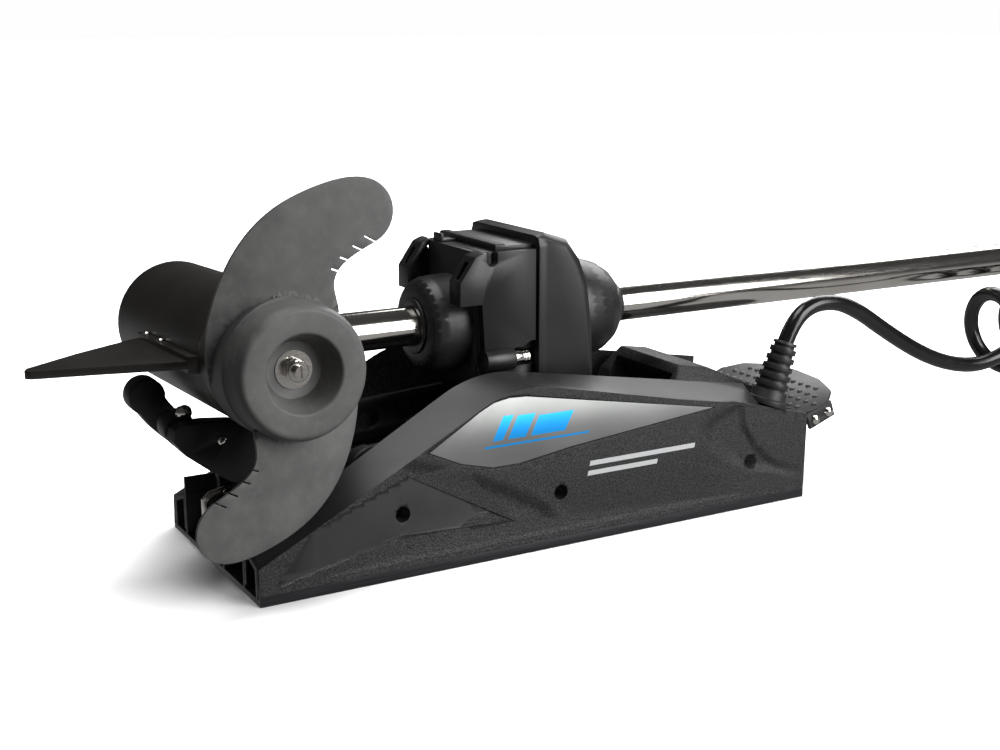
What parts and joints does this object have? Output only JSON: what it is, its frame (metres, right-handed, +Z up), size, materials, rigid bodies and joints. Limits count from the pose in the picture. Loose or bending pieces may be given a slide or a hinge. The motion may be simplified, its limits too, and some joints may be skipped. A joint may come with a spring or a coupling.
{
  "type": "bow-mount electric trolling motor",
  "caption": "Bow-mount electric trolling motor in its stowed pose: deck plate with side covers, swing arms, steering housing, steel shaft, weedless propeller, foot pedal and coil cord.",
  "frame": {"origin": "centre of the four deck-bolt holes, on the bottom face of the deck plate", "axes": "+X along the deck plate and the stowed shaft, towards the pedal and the control head; +Z up, away from the deck; -Y towards the propeller"},
  "size_m": [1.379, 0.2632, 0.2681],
  "materials": {
    "anodised_black": "satin black anodised extrusion",
    "cover_plastic": "fine-grain dark grey moulded plastic",
    "badge_plastic": "smooth grey inlay",
    "cast_black": "satin black painted casting",
    "motor_black": "satin black painted tube",
    "prop_plastic": "glass-filled dark grey plastic",
    "rubber_black": "satin rubber",
    "cord_black": "glossy jacket",
    "stainless": "polished stainless steel",
    "steel": "machined steel",
    "copper_iron": "varnished windings on iron",
    "magnet": "ferrite",
    "board_green": "circuit board",
    "lens_red": "tinted lens",
    "acetal": "acetal bush",
    "pedal_black": "textured black coated tread plate"
  },
  "bodies": {
    "base": {"base_extrusion": "anodised_black", "side_cover_near": "cover_plastic", "side_cover_far": "cover_plastic", "badge_panel_near": "badge_plastic", "badge_panel_far": "badge_plastic", "cover_screws": "stainless", "rear_cover": "cover_plastic", "rest_bracket": "cast_black", "rest_saddle": "rubber_black", "rest_hook": "rubber_black", "rest_screws": "stainless", "latch_hooks": "stainless", "pivot_brackets": "cast_black", "pivot_shaft": "stainless", "strain_relief": "rubber_black", "cord_lead": "cord_black", "cord_coil": "cord_black", "cord_tail": "cord_black", "pedal_bracket": "cast_black", "pedal_pin": "stainless", "pedal_spring": "steel"},
    "pedal": {"pedal_plate": "pedal_black", "pedal_screws": "stainless"},
    "arms": {"swing_arm_near": "cast_black", "swing_arm_far": "cast_black", "arm_bushes": "acetal", "housing_pin": "stainless"},
    "housing": {"housing_body": "cast_black", "side_plate_near": "cast_black", "side_plate_far": "cast_black", "top_plate": "cast_black", "rear_cap": "cast_black", "rear_dome": "cast_black", "front_bush": "acetal", "rear_bush": "acetal", "housing_screws": "stainless", "steering_motor": "steel"},
    "plunger": {"latch_plunger": "stainless"},
    "pinion": {"steering_pinion": "steel"},
    "sleeve": {"steering_gear": "acetal", "drive_sleeve": "steel"},
    "shaft": {"shaft_tube": "stainless", "motor_case": "motor_black", "motor_nose": "motor_black", "motor_end_cap": "motor_black", "shaft_socket": "motor_black", "skeg": "motor_black", "skeg_screws": "stainless", "field_magnets": "magnet", "motor_bearings": "steel", "head_lower": "cover_plastic", "head_upper": "cover_plastic", "head_board": "board_green", "head_lens": "lens_red"},
    "prop": {"propeller": "prop_plastic", "prop_shaft": "stainless", "armature": "copper_iron", "drive_pin": "stainless", "prop_washer": "stainless", "prop_nut": "stainless"}
  },
  "joints": [
    {"name": "pedal_press", "type": "hinge", "parent": "base", "child": "pedal", "pos_m": [0.234, 0, 0.048], "axis": [0, 1, 0], "range_deg": [0, 14], "stiffness_Nm_per_rad": 6, "springref_deg": -5.73, "deforming": ["pedal_spring"]},
    {"name": "deploy", "type": "hinge", "parent": "base", "child": "arms", "pos_m": [-0.13, 0, 0.068], "axis": [0, -1, 0], "range_deg": [0, 180], "deforming": ["cord_lead", "cord_coil", "cord_tail"]},
    {"name": "housing_tilt", "type": "hinge", "parent": "arms", "child": "housing", "pos_m": [0.025, 0, 0.08], "axis": [0, -1, 0], "range_deg": [-90, 0]},
    {"name": "steer", "type": "hinge", "parent": "housing", "child": "sleeve", "pos_m": [0, 0, 0.15], "axis": [-1, 0, 0], "range_deg": [0, 90]},
    {"name": "pinion_spin", "type": "hinge", "parent": "housing", "child": "pinion", "pos_m": [0.02, 0, 0.1922], "axis": [-1, 0, 0], "range_deg": [-225, 0]},
    {"name": "depth", "type": "slide", "parent": "sleeve", "child": "shaft", "axis": [-1, 0, 0], "range_m": [0, 0.45], "deforming": ["rest_saddle", "rest_hook", "rest_screws"]},
    {"name": "prop_spin", "type": "hinge", "parent": "shaft", "child": "prop", "pos_m": [-0.1995, 0, 0.15], "axis": [0, -0.999, 0.0436], "continuous": true},
    {"name": "latch_draw", "type": "slide", "parent": "housing", "child": "plunger", "axis": [-1, 0, 0], "range_m": [0, 0.006]}
  ],
  "couplings": [
    {"joint": "housing_tilt", "follows": "deploy", "ratio": -0.5},
    {"joint": "steer", "follows": "deploy", "ratio": 0.5},
    {"joint": "pinion_spin", "follows": "deploy", "ratio": -1.25},
    {"joint": "latch_draw", "follows": "pedal_press", "m_per_rad": 0.02456}
  ]
}
